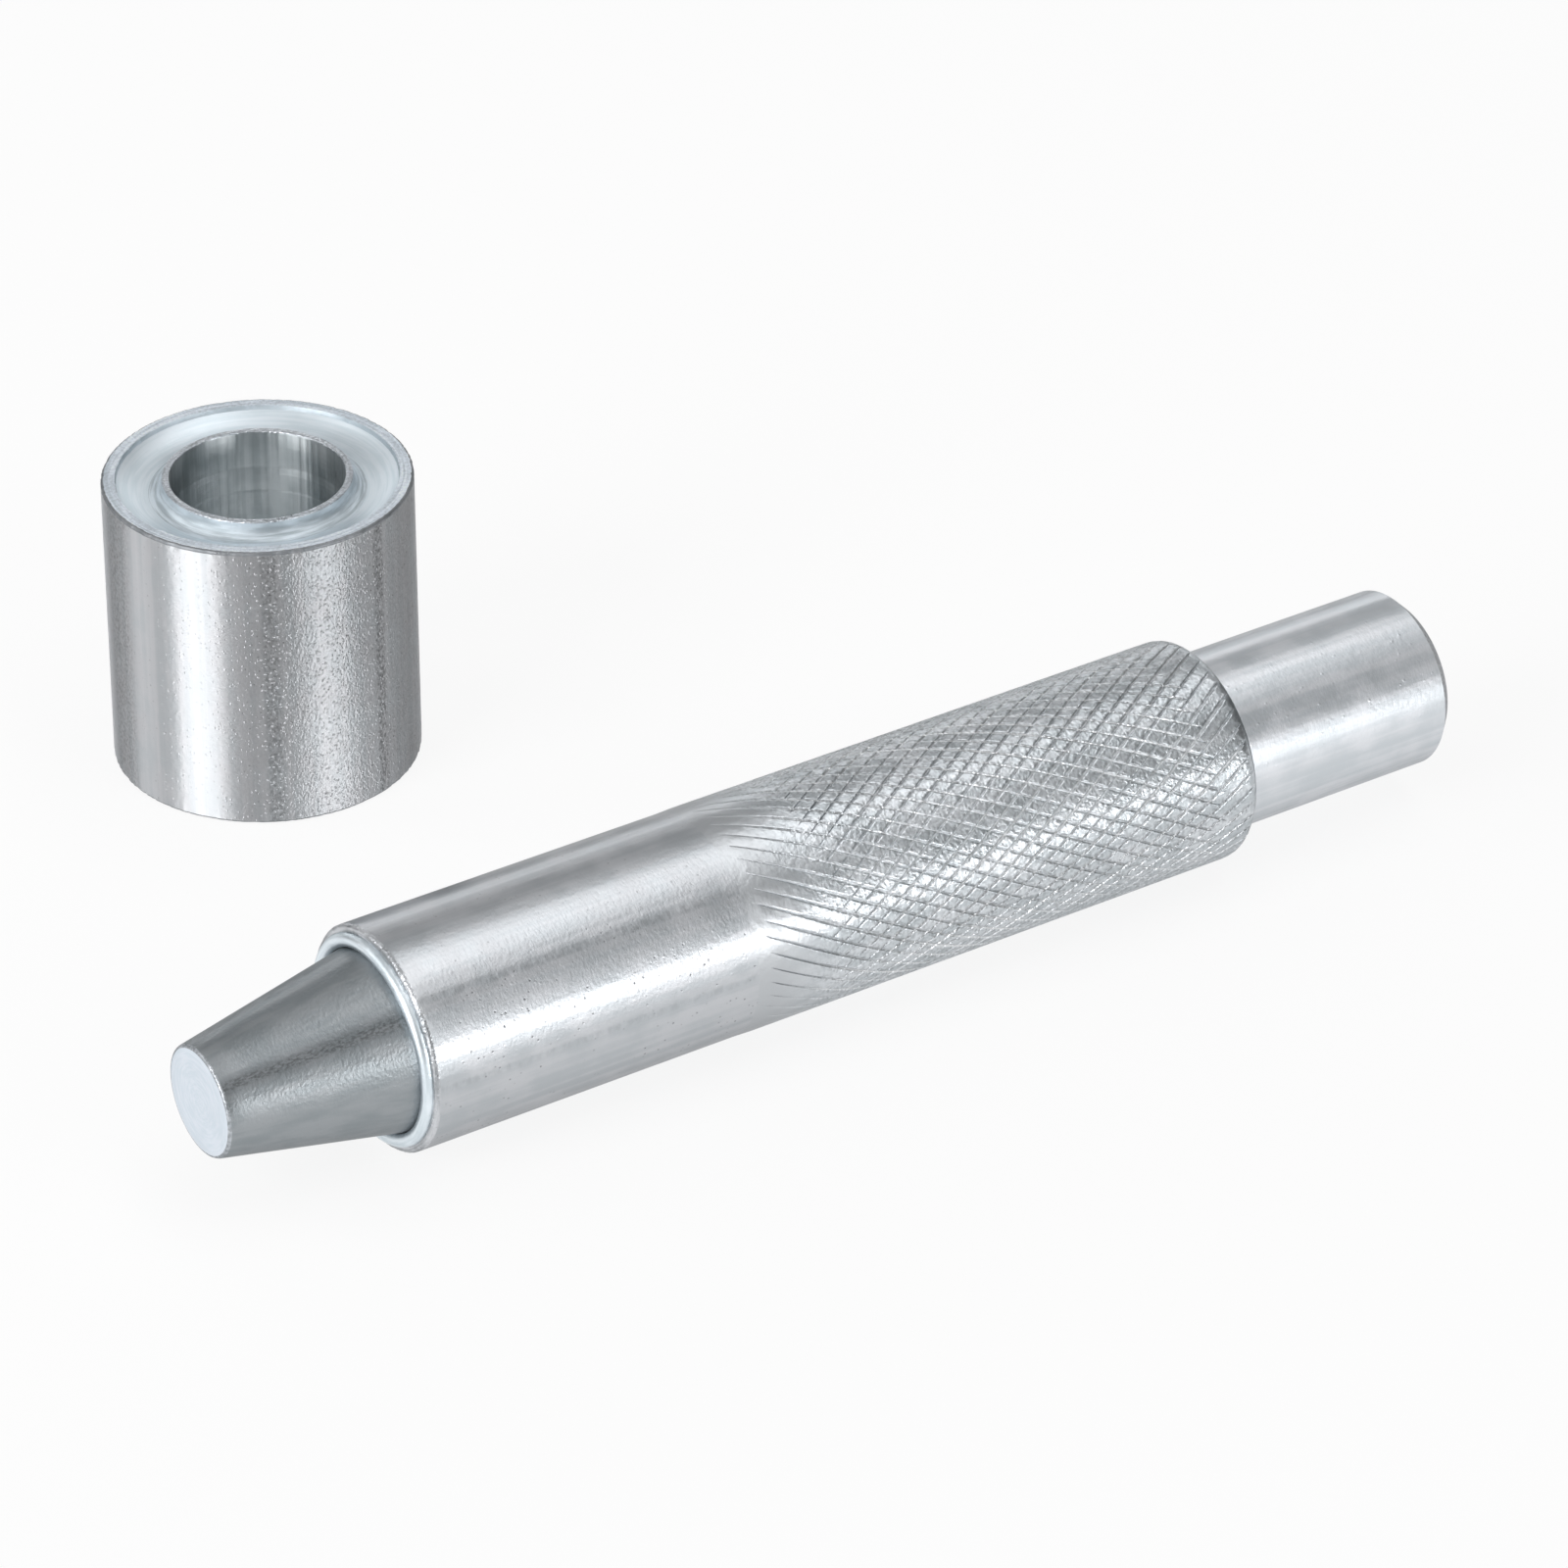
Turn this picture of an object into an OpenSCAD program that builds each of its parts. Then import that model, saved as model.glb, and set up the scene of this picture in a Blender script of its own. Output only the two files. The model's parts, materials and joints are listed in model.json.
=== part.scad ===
// Eyelet setting tool: a knurled setter with a tapered pilot, and the bored anvil it works on.
// Both are turned from steel bar. The anvil stands on the bench with its bore along +Z and
// the middle of its base at the origin. The setter lies on the bench beside it, its axis
// along +X and its pilot towards -X, so both rest on z = 0.

/* [Anvil] */
// Diameter of the anvil's through bore, which the pilot enters
bore_d = 14.1; // [8:0.1:24]
// Height of the anvil
anvil_h = 25; // [12:0.5:50]
// Width of the flat crest of the lip round the bore
lip_w = 0.6; // [0.3:0.05:1.5]
// Width of the ring groove, from the lip to the flat rim
ring_w = 3.75; // [2:0.05:8]
// Width of the flat rim that the work lies on
rim_w = 1.1; // [0.6:0.05:4]
// Depth of the ring groove below the rim
ring_depth = 1.35; // [0.8:0.05:3]
// Height of the small step just inside the rim
rim_step = 0.35; // [0.1:0.05:0.7]
// Width of that step
rim_step_w = 0.12; // [0.05:0.01:0.4]
// Width of the fillet from the groove's floor up to the lip
lip_fillet_w = 1.1; // [0.5:0.05:1.6]
// Break of the anvil's sharp edges
anvil_edge = 0.2; // [0.05:0.05:0.5]
// Break of the lip's two edges
lip_edge = 0.1; // [0.02:0.01:0.14]

/* [Setter pilot] */
// Length of the tapered pilot, from its tip to the working face
pilot_l = 15; // [8:0.5:30]
// Diameter of the pilot's flat tip
pilot_tip_d = 8.9; // [4:0.1:12]
// How much larger than the bore the pilot is at its root
pilot_seat = 0.5; // [0.1:0.05:1]
// Break of the pilot's tip edge
pilot_edge = 0.25; // [0.05:0.05:0.8]

/* [Setter body] */
// Width of the working face round the pilot's root
face_w = 1.7; // [1.3:0.05:5]
// Depth of the curling groove in the working face
curl_depth = 0.6; // [0.2:0.05:1.5]
// Width of the crest between the curling groove and the face's rounded edge
curl_crest = 0.15; // [0.05:0.01:0.3]
// Radius of the working face's outer edge
face_edge = 0.4; // [0.1:0.05:0.8]
// Length of the plain front of the body
plain_l = 28.5; // [10:0.5:60]
// Length of the knurled grip, up to the shoulder
grip_l = 47; // [20:0.5:90]
// How far the knurl stands above the plain body
grip_rise = 0.05; // [0.02:0.01:0.3]
// Length of the run-in from the plain body to the knurl
grip_run_in = 1.5; // [0.5:0.1:4]
// Radius of the shoulder's edge
shoulder_edge = 1; // [0.3:0.1:1.5]

/* [Setter neck] */
// How far the neck is cut down from the body, on each side
neck_step = 1.75; // [1.6:0.05:3]
// Length of the neck, from the shoulder to the striking face
neck_l = 20.5; // [8:0.5:40]
// Chamfer round the striking face
strike_chamfer = 1; // [0.3:0.1:2]

/* [Layout] */
// Clear bench between the anvil and the setter's grip
bench_gap = 32.45; // [5:0.05:80]
// How far the working face lies behind the anvil's axis
face_back = 22; // [0:0.5:60]

/* [Hidden] */
facets = 96;
arc_steps = 12;

bore_r = bore_d / 2;
lip_r = bore_r + lip_w;
ring_low_r = lip_r + lip_fillet_w;
ring_out_r = lip_r + ring_w;
anvil_r = ring_out_r + rim_w;

pilot_tip_r = pilot_tip_d / 2;
pilot_root_r = bore_r + pilot_seat / 2;
body_r = pilot_root_r + face_w;
curl_out_r = body_r - face_edge - curl_crest;
curl_mid_r = (pilot_root_r + curl_out_r) / 2;
curl_half_w = (curl_out_r - pilot_root_r) / 2;
grip_r = body_r + grip_rise;
body_l = plain_l + grip_l;
neck_r = body_r - neck_step;
setter_end = body_l + neck_l;
setter_y = -(anvil_r + bench_gap + grip_r);

// Points of an elliptical arc about a centre, from one angle to another
function arc(centre, half_w, half_h, from, to) = [
    for (i = [0:arc_steps])
        let (a = from + (to - from) * i / arc_steps)
        [centre[0] + half_w * cos(a), centre[1] + half_h * sin(a)]
];

// The ring groove's outer flank falls as a parabola from the step to the groove's floor
function ring_flank() = [
    for (i = [0:arc_steps])
        let (share = 1 - i / arc_steps)
        [ring_low_r + (ring_out_r - rim_step_w - ring_low_r) * share,
         anvil_h - ring_depth + (ring_depth - rim_step) * share * share]
];

// Half section of the anvil: radius, then height above the bench
function anvil_outline() = concat(
    [[bore_r, 0],
     [anvil_r - anvil_edge, 0],
     [anvil_r, anvil_edge],
     [anvil_r, anvil_h - anvil_edge],
     [anvil_r - anvil_edge, anvil_h],
     [ring_out_r, anvil_h]],
    ring_flank(),
    arc([ring_low_r, anvil_h - lip_edge], lip_fillet_w, ring_depth - lip_edge, 265, 180),
    [[lip_r - lip_edge, anvil_h],
     [bore_r + lip_edge, anvil_h],
     [bore_r, anvil_h - lip_edge]]
);

// Half section of the setter: radius, then distance behind the working face
function setter_outline() = concat(
    [[0, -pilot_l],
     [pilot_tip_r - pilot_edge, -pilot_l],
     [pilot_tip_r, pilot_edge - pilot_l]],
    arc([curl_mid_r, 0], curl_half_w, curl_depth, 180, 0),
    arc([body_r - face_edge, face_edge], face_edge, face_edge, 270, 360),
    [[body_r, plain_l],
     [grip_r, plain_l + grip_run_in]],
    arc([grip_r - shoulder_edge, body_l - shoulder_edge], shoulder_edge, shoulder_edge, 0, 90),
    [[neck_r, body_l],
     [neck_r, setter_end - strike_chamfer],
     [neck_r - strike_chamfer, setter_end],
     [0, setter_end]]
);

// Anvil: outer rim for the work, ring groove for the eyelet's flange, lip and through bore
module anvil() {
    color("silver")
        rotate_extrude($fn = facets)
            polygon(anvil_outline());
}

// Setter: pilot, curling groove, plain front, grip, shoulder, neck and striking face
module setter() {
    color("lightgray")
        translate([-face_back, setter_y, grip_r])
            rotate([0, 90, 0])
                rotate_extrude($fn = facets)
                    polygon(setter_outline());
}

anvil();
setter();
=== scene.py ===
# %% [markdown]
# # An eyelet setting punch and its anvil
#
# The tool rolls a metal eyelet into cloth or leather. It is two pieces of turned steel, both
# zinc plated. The setter is the long one, held in the hand and struck with a hammer. The anvil
# is the short one, which stands under the work. Neither has a joint, a screw or a spring.
#
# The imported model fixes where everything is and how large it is. This notebook loads it, and
# then gives each piece a finer skin and a real finish.

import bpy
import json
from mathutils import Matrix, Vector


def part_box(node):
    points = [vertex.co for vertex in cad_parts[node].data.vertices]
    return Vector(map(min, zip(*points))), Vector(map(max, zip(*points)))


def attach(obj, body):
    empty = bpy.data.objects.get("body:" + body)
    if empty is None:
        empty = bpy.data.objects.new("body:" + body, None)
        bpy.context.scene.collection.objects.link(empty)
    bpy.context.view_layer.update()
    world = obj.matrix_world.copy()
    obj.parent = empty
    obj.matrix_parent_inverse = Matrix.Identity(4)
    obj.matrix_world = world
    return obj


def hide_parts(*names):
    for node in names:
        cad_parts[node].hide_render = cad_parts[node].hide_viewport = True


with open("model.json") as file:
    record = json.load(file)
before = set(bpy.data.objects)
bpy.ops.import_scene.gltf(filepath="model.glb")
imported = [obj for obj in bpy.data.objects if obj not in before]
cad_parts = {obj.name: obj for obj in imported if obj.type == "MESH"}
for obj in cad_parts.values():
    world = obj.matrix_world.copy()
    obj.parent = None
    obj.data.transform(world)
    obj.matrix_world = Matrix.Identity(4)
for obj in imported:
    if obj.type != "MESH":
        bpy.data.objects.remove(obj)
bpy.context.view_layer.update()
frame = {"nodes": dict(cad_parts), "record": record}
print("nodes", sorted(frame["nodes"]))

# %% The libraries
import json
import math

import bpy
import numpy as np
from mathutils import Vector

MM = 0.001  # sizes are written in millimetres and kept in metres

# %% [markdown]
# ## Sizes
#
# The anvil stands at the origin with its bore upright. The setter lies along X. Their boxes
# and the mounts in the record give the radii that other tools would fit, so those are read and
# not typed again. Other sizes, such as a groove's depth, are the model's own too, and stand
# where they are first needed.

# %% Sizes read from the frame
mounts = {mount["name"]: mount for mount in frame["record"]["mounts"]}
setter_low, setter_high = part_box("setter")
anvil_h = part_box("anvil")[1].z

bore_r, anvil_r, body_r, neck_r = (
    mounts[name]["dims"]["r_mm"] * MM
    for name in ("die_bore", "anvil_shank", "plain_front", "neck_shank"))
axis_y, axis_z = mounts["neck_shank"]["pos_m"][1:]
grip_r = axis_z - setter_low.z
setter_l = setter_high.x - setter_low.x
print(f"setter {setter_l / MM:.1f} mm long, anvil {anvil_h / MM:.1f} mm high")

# %% [markdown]
# ## The camera
#
# Small tools are photographed with a long lens from a good half metre away, which keeps them
# almost free of perspective. An orthographic camera would drop the rest of it, but this lens
# fits the outlines of both pieces better. It is worked out from its focal length in pixels of
# the square picture. It comes first, because everything else is judged through it.

# %% Putting things in the scene
def placed(name, data):
    """An object of its own for a mesh, a camera or a lamp."""
    thing = bpy.data.objects.new(name, data)
    bpy.context.scene.collection.objects.link(thing)
    return thing


def aimed(name, data, aim, distance, turn, rise):
    """A camera or a lamp that stands a distance away from its aim and faces it.

    turn is from -Y towards +X, and rise is above the bench, both in degrees. The way out is
    (sine of the turn, minus its cosine) times the cosine of the rise, and the rise's sine.
    """
    turn, rise = math.radians(turn), math.radians(rise)
    away = Vector((math.sin(turn) * math.cos(rise), -math.cos(turn) * math.cos(rise),
                   math.sin(rise)))
    thing = placed(name, data)
    thing.location = aim + away * distance
    thing.rotation_mode = "QUATERNION"
    thing.rotation_quaternion = away.to_track_quat("Z", "Y")
    return thing


# %% The camera
PICTURE_SIDE = 1600
FOCAL_PIXELS = 8000
VIEW_TURN = -33.44
VIEW_RISE = 31.9
VIEW_DISTANCE = 614 * MM
VIEW_AIM = Vector((22.6 * MM, -42.0 * MM, 10 * MM))

lens = bpy.data.cameras.new("camera")
lens.lens = lens.sensor_width * FOCAL_PIXELS / PICTURE_SIDE
bpy.context.scene.camera = aimed("camera", lens, VIEW_AIM, VIEW_DISTANCE, VIEW_TURN, VIEW_RISE)
print(f"lens {lens.lens:.0f} mm")

# %% [markdown]
# ## How a turned piece becomes a surface
#
# A lathe makes a surface of revolution: a half section swept round an axis. Blender's Screw
# modifier would sweep it too, but only evenly. Here the half section is a list of points, each
# a radius and a length along the axis. Swept, it is a grid: rows run along the section, columns
# run round. The whole grid is one numpy array, so burrs and the knurl can be added as sums
# before it becomes a mesh.

# %% Pieces of a half section
SAME_POINT = 1e-7  # metres


def arc(centre, radii, start, stop, steps):
    """Points of an arc: the centre, plus the radii, or the one radius, times cosine and sine."""
    angle = np.radians(np.linspace(start, stop, steps + 1))
    return np.array(centre) + np.array(radii) * np.stack([np.cos(angle), np.sin(angle)], axis=1)


def line(start, stop, steps=1):
    """Points from start to stop in equal steps, both ends kept."""
    share = np.linspace(0, 1, steps + 1)[:, None]
    return np.array(start) * (1 - share) + np.array(stop) * share


def chain(sections):
    """Joins sections end to end and drops doubled points.

    A section is a zone's name and its points. Returns the points, and for each step between
    two of them the name of the zone that it belongs to.
    """
    points = np.vstack([stretch for zone, stretch in sections])
    names = np.repeat([zone for zone, stretch in sections], [len(s) for zone, s in sections])
    steps = np.hypot(*np.diff(points, axis=0).T)
    keep = np.concatenate([[True], steps > SAME_POINT])
    return points[keep], names[keep][1:]


# %% Sweeping
def sweep(radius, length, turn, centre, upright):
    """Place = centre + length along the axis + radius times (cosine, sine) of the turn.

    The axis is Z where upright is true, and X otherwise.
    """
    radius, length, turn = np.broadcast_arrays(radius, length, turn)
    side, rise = radius * np.cos(turn), radius * np.sin(turn)
    parts = (side, rise, length) if upright else (length, side, rise)
    return np.stack(parts, axis=-1) + np.array(centre)


def numbered(grid):
    """The number of every point of a grid, row by row."""
    return np.arange(grid.shape[0] * grid.shape[1]).reshape(grid.shape[:2])


def cells(index, zones):
    """Faces between neighbouring rows of numbers, and their zones. Columns close on themselves.

    A face is a point, its neighbour in the next column, that one's in the next row, and its own.
    """
    beside = np.roll(index, -1, axis=1)
    faces = np.stack([index[:-1], beside[:-1], beside[1:], index[1:]], axis=-1).reshape(-1, 4)
    return faces.tolist(), np.repeat(zones, index.shape[1]).tolist()


def fan(pole, row, zone):
    """Triangles from a pole to every step of a row, and their zone."""
    faces = np.stack([np.full_like(row, pole), np.roll(row, -1), row], axis=-1)
    return faces.tolist(), [zone] * len(row)


# %% Skinning
SHARP_ANGLE = 33  # degrees


def creases(mesh, angle):
    """Creases every edge whose two faces differ by more than an angle, and returns which."""
    mesh.set_sharp_from_angle(angle=math.radians(angle))
    sharp = np.zeros(len(mesh.edges), bool)
    mesh.edges.foreach_get("use_edge_sharp", sharp)
    return sharp


def skin(name, points, blocks, order):
    """A smooth mesh from points and blocks of faces. order lists the zones as materials."""
    faces = [face for block, zones in blocks for face in block]
    marks = [order.index(zone) for block, zones in blocks for zone in zones]
    mesh = bpy.data.meshes.new(name)
    mesh.from_pydata(points.tolist(), [], faces)
    mesh.polygons.foreach_set("material_index", marks)
    mesh.polygons.foreach_set("use_smooth", [True] * len(faces))
    creases(mesh, SHARP_ANGLE)
    mesh.update()
    return placed(name, mesh)


def volume(piece):
    """Volume in cubic millimetres, above zero if the faces point out: a sixth of the sum of
    each triangle's first corner times the cross product of the other two."""
    mesh = piece.data
    mesh.calc_loop_triangles()
    corners = np.zeros(len(mesh.loop_triangles) * 3, int)
    mesh.loop_triangles.foreach_get("vertices", corners)
    places = np.zeros(len(mesh.vertices) * 3)
    mesh.vertices.foreach_get("co", places)
    a, b, c = places.reshape(-1, 3)[corners].reshape(-1, 3, 3).transpose(1, 0, 2)
    return float((a * np.cross(b, c)).sum() / 6 / MM**3)


# %% [markdown]
# A turned edge is never quite even: the plating builds up on it and handling nicks it. Noise
# would be as uneven, but it leaves a seam where the turn closes. A sum of a few sine waves,
# with seeded phases, has none.

# %% Unevenness round the turn
def unevenness(turn, seed, waves):
    """Sum of sine waves round the turn, each with its own seeded phase, between -1 and 1."""
    phases = np.random.default_rng(seed).uniform(0, 2 * np.pi, len(waves))
    heights = [np.sin(count * turn + phase) for count, phase in zip(waves, phases)]
    return sum(heights) / len(waves)


def burr(points, corner, turn, seed, height, reach, waves):
    """How far metal stands off round a corner of a section: the height, times the size of the
    unevenness, times e to the power of minus the squared share of the reach."""
    away = np.hypot(*(points - np.array(corner)).T)
    fade = np.exp(-((away / reach) ** 2))[:, None]
    return height * fade * np.abs(unevenness(turn, seed, waves))


# %% [markdown]
# ## The anvil
#
# Seen from above, the anvil is a flat rim, a small step, a shallow ring groove for the eyelet's
# flange, which deepens inwards, and a thin lip round the bore. Two tool marks run round the
# bore. It could be cut from a cylinder with booleans, but a half section gives each edge its
# own rounding. The section is a closed loop, so the piece is a ring with no poles. The groove's
# outer flank is a parabola and its inner side a quarter ellipse, as in the model.

# %% The anvil's sizes
LIP_W = 0.6 * MM
RING_W = 3.75 * MM
RING_DEPTH = 1.35 * MM
RIM_STEP = 0.35 * MM
RIM_STEP_W = 0.12 * MM
FILLET_W = 1.1 * MM
ANVIL_EDGE = 0.2 * MM
LIP_EDGE = 0.1 * MM
SCORE_DEPTHS = (3.3 * MM, 5.4 * MM)
SCORE_CUT = 0.03 * MM
SCORE_W = 0.12 * MM
CLEAR = 1.5  # a plain side starts this many edge radii in, so that its shading stays flat


# %% The anvil's half section
def ring_flank(inner_r, outer_r, steps=16):
    """Height = groove floor + the drop from the step times the square of the share across."""
    share = np.linspace(1, 0, steps + 1)
    radius = inner_r + (outer_r - inner_r) * share
    return np.stack([radius, anvil_h - RING_DEPTH + (RING_DEPTH - RIM_STEP) * share**2], axis=1)


def score(depth):
    """A tool mark in the bore: out to its depth and back, a fixed way below the top."""
    height = anvil_h - depth
    return np.array([(bore_r, height + SCORE_W), (bore_r + SCORE_CUT, height),
                     (bore_r, height - SCORE_W)])


def anvil_section():
    """The anvil's closed half section, from the base outwards, up, in over the top and down."""
    edge_r = anvil_r - ANVIL_EDGE
    low, high = ANVIL_EDGE * CLEAR, anvil_h - ANVIL_EDGE * CLEAR
    lip_r = bore_r + LIP_W
    ring_low_r, ring_out_r = lip_r + FILLET_W, lip_r + RING_W
    top = anvil_h - LIP_EDGE
    return chain([
        ("base", line((bore_r, 0), (edge_r, 0), 6)),
        ("edge", arc((edge_r, ANVIL_EDGE), ANVIL_EDGE, -90, 0, 4)),
        ("side", line((anvil_r, low), (anvil_r, high), 40)),
        ("edge", arc((edge_r, anvil_h - ANVIL_EDGE), ANVIL_EDGE, 0, 90, 4)),
        ("rim", line((edge_r, anvil_h), (ring_out_r, anvil_h), 3)),
        ("step", line((ring_out_r, anvil_h), (ring_out_r - RIM_STEP_W, anvil_h - RIM_STEP), 2)),
        ("groove", ring_flank(ring_low_r, ring_out_r - RIM_STEP_W)),
        ("flank", arc((ring_low_r, top), (FILLET_W, RING_DEPTH - LIP_EDGE), -90, -180, 12)),
        ("lip", arc((lip_r - LIP_EDGE, top), LIP_EDGE, 0, 90, 4)),
        ("lip", line((lip_r - LIP_EDGE, anvil_h), (bore_r + LIP_EDGE, anvil_h), 2)),
        ("lip", arc((bore_r + LIP_EDGE, top), LIP_EDGE, 90, 180, 4)),
        *(("bore", score(depth)) for depth in SCORE_DEPTHS),
        ("bore", line((bore_r, anvil_h - SCORE_DEPTHS[1] - 2 * SCORE_W), (bore_r, 0), 16)),
    ])


anvil_points, anvil_zones = anvil_section()
anvil_points = anvil_points[:-1]  # the loop ends where it starts
print("anvil section", len(anvil_points), "points")

# %% The anvil's skin
ANVIL_COLUMNS = 288
ANVIL_BURR = (0.14 * MM, 0.35 * MM, (5, 13, 29, 53, 83, 117))  # height, reach and waves
ANVIL_ORDER = ["base", "edge", "side", "rim", "step", "groove", "flank", "lip", "bore"]


def make_anvil():
    """Sweeps the half section round Z, with burrs at its outer edges and its step."""
    turn = np.linspace(0, 2 * np.pi, ANVIL_COLUMNS, endpoint=False)[None, :]
    radius, height = (anvil_points[:, i, None] + np.zeros_like(turn) for i in (0, 1))
    step_r = bore_r + LIP_W + RING_W
    for seed, corner in enumerate([(anvil_r, anvil_h), (step_r, anvil_h), (anvil_r, 0)]):
        radius = radius - burr(anvil_points, corner, turn, seed, *ANVIL_BURR)
    grid = sweep(radius, height, turn, (0, 0, 0), upright=True)
    index = numbered(grid)
    closed = np.vstack([index, index[:1]])
    return skin("anvil_turned", grid.reshape(-1, 3), [cells(closed, anvil_zones)], ANVIL_ORDER)


anvil = make_anvil()
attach(anvil, "anvil")
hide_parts("anvil")
print(f"anvil {len(anvil.data.polygons)} faces, {volume(anvil):.0f} mm3")

# %% [markdown]
# ## The knurl
#
# A diamond knurl is two families of helical grooves pressed by two wheels. It could be a bump
# in the material, but real edges catch the light, so it is in the mesh. Straight rows would cut
# every groove into steps, so the mesh follows the grooves. Count the pitches along each family,
# back and forth. Their sum gives the turn and their difference the length along the grip, so a
# grid in the two counts is a grid of diamonds. Each pitch has six mesh lines: the groove's
# bottom, its two sides, where each side's rounding ends and the middle of the flat between.

# %% The knurl's mesh lines
KNURL_STARTS = 44
KNURL_LEAN = math.radians(30)
HALF_GROOVE = 0.095  # in pitches
LEAST_PRESS = 0.12
ROUNDED = 0.08  # in pitches
LINE_MIDDLE = np.array([0, 0, 0, 0.5, 1, 1])
LINE_SIDE = np.array([0, 1, 1, 0, -1, -1])
LINE_FOOT = np.array([0, 0, 1, 0, -1, 0])
LINES = len(LINE_MIDDLE)
COLUMNS = KNURL_STARTS * LINES


def pitches(line, pressed):
    """Where a mesh line lies, counted in pitches: a groove half as deep is half as wide."""
    kind = line % LINES
    width = HALF_GROOVE * np.maximum(pressed, LEAST_PRESS)
    return line // LINES + LINE_MIDDLE[kind] + LINE_SIDE[kind] * width + LINE_FOOT[kind] * ROUNDED


def knurl_place(back, forth, back_pressed, forth_pressed, crossings):
    """Turn = pi times the sum of both counts over the starts. Share = their difference over
    the number of crossings along the grip."""
    u, v = pitches(back, back_pressed), pitches(forth, forth_pressed)
    return np.pi * (u + v) / KNURL_STARTS, (u - v) / crossings


# %% [markdown]
# The two wheels were set a few millimetres apart along the bar. So one family starts and ends
# nearer the pilot, and the other runs on until it fades out on the shoulder's rounded edge.
# Every groove starts quickly, half deep and thin, and deepens over some millimetres. One depth
# for all would look printed on, so depth, start and end are drawn by seeded chance, groove by
# groove.

# %% How deep each groove is pressed
FORTH_SPAN = (29.4 * MM, 71.1 * MM)  # from the working face
BACK_SPAN = (35.6 * MM, 90 * MM)  # beyond the grip's end, so that it fades out there
RUN_IN = 0.9 * MM
DEEPEN = 7.0 * MM
FIRST_PRESS = 0.5
RUN_OUT = 0.8 * MM
EDGE_FADE_START = 2.0 * MM
EDGE_FADE = 1.0 * MM
START_SPREAD = 0.35 * MM
DEPTH_SPREAD = 0.08
PRESS_SPREAD = 0.18
PRESS_WAVES = (2, 3, 5, 8)
PRESS_TWIST = 60  # how far the waves wind round the bar, in radians a metre
WHEEL_SEED = 10


def smooth_step(share):
    """0 below 0, 1 above 1, and an S curve in between."""
    share = np.clip(share, 0, 1)
    return share * share * (3 - 2 * share)


def press(line, turn, along, length, span, seed):
    """How deep a family is pressed, around 1, with each groove's own start, end and depth.

    It is the rise at the start, times the fall at the end of the span and again at the end of
    the grip, times the wheel's unevenness, times the groove's own depth.
    """
    groove = (line + LINES // 2) // LINES % KNURL_STARTS
    luck = np.random.default_rng(seed)
    start, stop = luck.normal(0, START_SPREAD, (2, KNURL_STARTS))
    depth = luck.normal(1, DEPTH_SPREAD, KNURL_STARTS)
    past = along - span[0] - start[groove]
    rise = FIRST_PRESS * smooth_step(past / RUN_IN)
    rise = rise + (1 - FIRST_PRESS) * smooth_step(past / DEEPEN)
    fall = 1 - smooth_step((along - span[1] - stop[groove]) / RUN_OUT)
    end = 1 - smooth_step((along - PLAIN_L - length + EDGE_FADE_START) / EDGE_FADE)
    wheel = unevenness(turn + PRESS_TWIST * along, seed + WHEEL_SEED, PRESS_WAVES)
    return rise * fall * end * (1 + PRESS_SPREAD * wheel) * depth[groove]


# %% [markdown]
# ## The setter
#
# The setter's half section runs from the flat tip, up the tapered pilot, into the curling groove
# that rolls the eyelet over, round the face's edge and along the plain front. The grip follows
# the knurl's own grid. Then come the shoulder, the neck and the chamfered striking face. They
# could be separate meshes, but seams would show in the reflections. All rows have the same
# columns, so the three stretches are stacked into one closed skin.

# %% The setter's sizes
PILOT_L = 15 * MM
PILOT_ROOT_R = 7.3 * MM
PILOT_SWELL = 0.02 * MM  # the taper has grown by this much where the tip's rounding ends
TIP_R = 4.45 * MM
TIP_EDGE = 0.25 * MM
CURL_DEPTH = 0.6 * MM
CURL_CREST = 0.15 * MM
FACE_EDGE = 0.4 * MM
PLAIN_L = 28.5 * MM
GRIP_RUN_IN = 1.5 * MM
SHOULDER_EDGE = 1.0 * MM
STRIKE_CHAMFER = 1.0 * MM
NECK_L = mounts["neck_shank"]["dims"]["length_mm"] * MM + STRIKE_CHAMFER
BODY_L = setter_l - PILOT_L - NECK_L
POLE_SHARE = 0.25  # the innermost ring of a flat end, as a share of the end's radius

face_x = setter_low.x + PILOT_L
print(f"working face at x = {face_x / MM:.1f} mm, body {BODY_L / MM:.1f} mm long")


# %% The setter's half section
def front_section():
    """Half section from the tip to the end of the plain front, from the working face at 0."""
    curl_out_r = body_r - FACE_EDGE - CURL_CREST
    curl_mid_r, curl_half_w = (PILOT_ROOT_R + curl_out_r) / 2, (curl_out_r - PILOT_ROOT_R) / 2
    tip_flat_r = TIP_R - TIP_EDGE
    taper_start = TIP_EDGE - PILOT_L
    return chain([
        ("tip", line((TIP_R * POLE_SHARE, -PILOT_L), (tip_flat_r, -PILOT_L), 4)),
        ("tip_edge", arc((tip_flat_r, taper_start), TIP_EDGE, -90, -8, 5)),
        ("pilot", line((TIP_R + PILOT_SWELL, taper_start), (PILOT_ROOT_R, 0), 14)),
        ("root", arc((curl_mid_r, 0), (curl_half_w, CURL_DEPTH), 180, 200, 2)),
        ("curl", arc((curl_mid_r, 0), (curl_half_w, CURL_DEPTH), 200, 360, 15)),
        ("face", arc((body_r - FACE_EDGE, FACE_EDGE), FACE_EDGE, -90, 0, 6)),
        ("body", line((body_r, FACE_EDGE * CLEAR), (body_r, PLAIN_L), 18)),
    ])


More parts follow.
